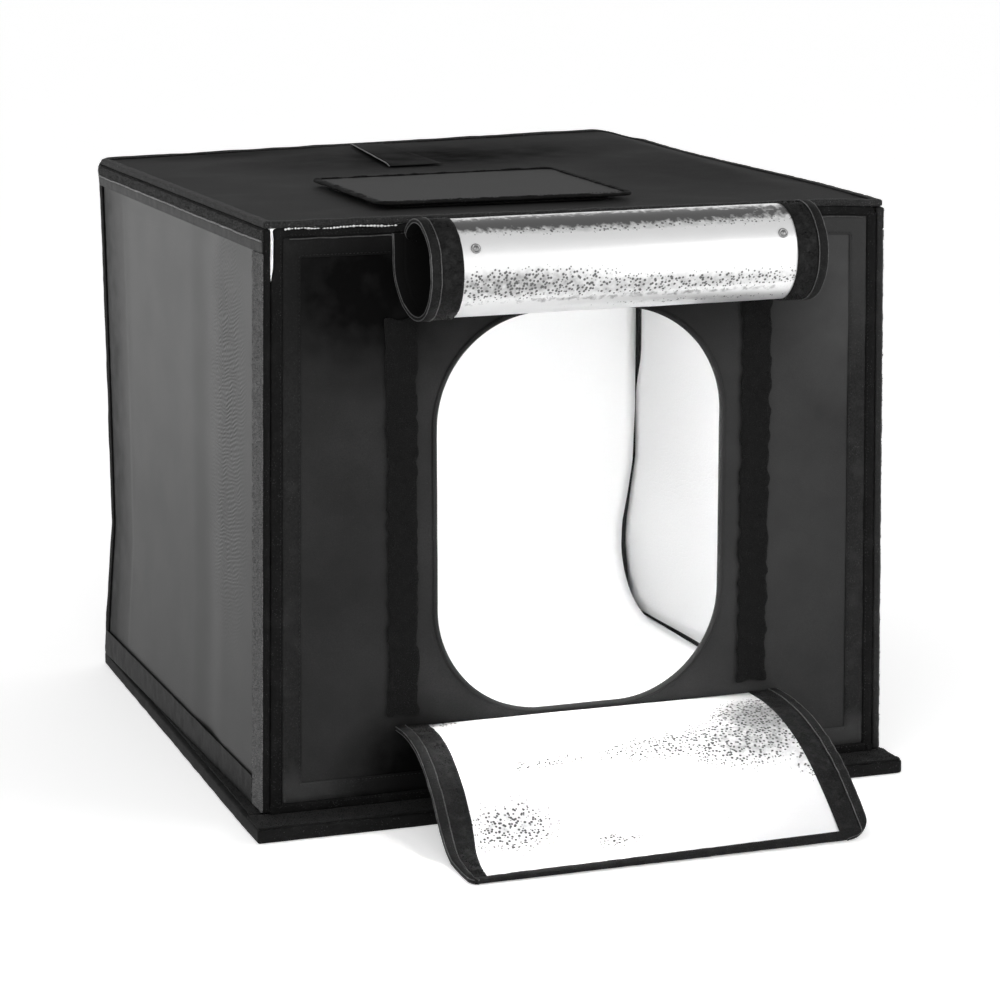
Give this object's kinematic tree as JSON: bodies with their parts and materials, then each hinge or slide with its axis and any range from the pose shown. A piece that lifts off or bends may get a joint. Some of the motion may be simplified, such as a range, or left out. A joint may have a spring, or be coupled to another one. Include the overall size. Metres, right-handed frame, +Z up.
{
  "type": "light tent cube",
  "caption": "Folding photo light tent: cloth-bound boards, windowed front with a rolled and a hanging silver flap, covered top hole, lamp bar and white sweep.",
  "frame": {"origin": "on the underside of the base board, below the middle of the tent's walls", "axes": "+Z up, the front panel with its window faces -Y, +X to the right seen from the front"},
  "size_m": [0.62, 0.8163, 0.5491],
  "materials": {
    "cover_cloth": "dull black coated cloth over board",
    "binding_cloth": "matt black woven binding",
    "loop_tape": "fuzzy black hook-and-loop tape",
    "bright_lining": "pearl white reflective lining",
    "silver_foil": "pebbled silver coated cloth",
    "white_sheet": "matt white sheet",
    "aluminium": "satin extrusion",
    "lamp_board": "white printed board",
    "diffuser": "milky plastic",
    "black_plastic": "moulded black plastic",
    "snap_metal": "bright plated snap"
  },
  "bodies": {
    "base": {"base_board": "cover_cloth", "base_binding": "binding_cloth", "base_front_tape": "loop_tape", "base_tape_left": "loop_tape", "base_tape_right": "loop_tape", "base_lining": "bright_lining"},
    "back": {"back_panel": "cover_cloth", "back_binding": "binding_cloth", "back_lining": "bright_lining", "backdrop_sheet": "white_sheet", "backdrop_strip": "loop_tape"},
    "left": {"left_panel": "cover_cloth", "left_binding": "binding_cloth", "left_lining": "bright_lining", "left_top_tape": "loop_tape", "left_front_tape": "loop_tape", "left_bottom_hem": "binding_cloth"},
    "right": {"right_panel": "cover_cloth", "right_binding": "binding_cloth", "right_lining": "bright_lining", "right_top_tape": "loop_tape", "right_front_tape": "loop_tape", "right_bottom_hem": "binding_cloth"},
    "top": {"top_panel": "cover_cloth", "top_binding": "binding_cloth", "top_lining": "bright_lining", "shooting_hole_binding": "binding_cloth", "shooting_hole_tape": "loop_tape", "lamp_channel": "aluminium", "lamp_board": "lamp_board", "lamp_diffuser": "diffuser", "lamp_end_cap_left": "black_plastic", "lamp_end_cap_right": "black_plastic", "lamp_strap_left": "loop_tape", "lamp_strap_right": "loop_tape", "lamp_inlet": "black_plastic"},
    "top_flap": {"top_flap_sheet": "cover_cloth", "top_flap_hem": "binding_cloth", "top_flap_tape": "loop_tape"},
    "cable_flap": {"cable_flap_sheet": "cover_cloth"},
    "front": {"front_panel": "cover_cloth", "front_hem": "binding_cloth", "front_binding": "binding_cloth", "front_lining": "bright_lining", "window_binding": "binding_cloth", "front_tape_left": "loop_tape", "front_tape_right": "loop_tape"},
    "upper_flap": {"upper_flap_foil": "silver_foil", "upper_flap_backing": "cover_cloth", "upper_flap_tape_left": "loop_tape", "upper_flap_tape_right": "loop_tape", "upper_flap_binding": "binding_cloth", "upper_flap_snap_left": "snap_metal", "upper_flap_snap_right": "snap_metal"},
    "lower_flap": {"lower_flap_foil": "silver_foil", "lower_flap_backing": "cover_cloth", "lower_flap_tape_left": "loop_tape", "lower_flap_tape_right": "loop_tape", "lower_flap_binding": "binding_cloth"}
  },
  "joints": [
    {"name": "back_hinge", "type": "hinge", "parent": "base", "child": "back", "pos_m": [0, 0.302, 0.01], "axis": [-1, 0, 0], "range_deg": [0, 85]},
    {"name": "left_hinge", "type": "hinge", "parent": "back", "child": "left", "pos_m": [-0.3, 0.2937, 0.0141], "axis": [0, 0, -1], "range_deg": [0, 90]},
    {"name": "right_hinge", "type": "hinge", "parent": "back", "child": "right", "pos_m": [0.3, 0.2937, 0.0141], "axis": [0, 0, 1], "range_deg": [0, 90]},
    {"name": "top_hinge", "type": "hinge", "parent": "back", "child": "top", "pos_m": [0, 0.2937, 0.543], "axis": [-1, 0, 0], "range_deg": [0, 80]},
    {"name": "front_hinge", "type": "hinge", "parent": "top", "child": "front", "pos_m": [0, -0.3, 0.5367], "axis": [-1, 0, 0], "range_deg": [0, 85]},
    {"name": "upper_flap_hinge", "type": "hinge", "parent": "front", "child": "upper_flap", "pos_m": [0.01, -0.30325, 0.5307], "axis": [-1, 0, 0], "range_deg": [0, 50]},
    {"name": "lower_flap_hinge", "type": "hinge", "parent": "front", "child": "lower_flap", "pos_m": [0.01, -0.3003, 0.08445], "axis": [-1, 0, 0], "range_deg": [0, 75]},
    {"name": "top_flap_hinge", "type": "hinge", "parent": "top", "child": "top_flap", "pos_m": [-0.05, -0.035, 0.5463], "axis": [-1, 0, 0], "range_deg": [0, 125]},
    {"name": "cable_flap_hinge", "type": "hinge", "parent": "top", "child": "cable_flap", "pos_m": [-0.046, 0.1807, 0.5433], "axis": [0, -1, 0], "range_deg": [0, 110]}
  ]
}
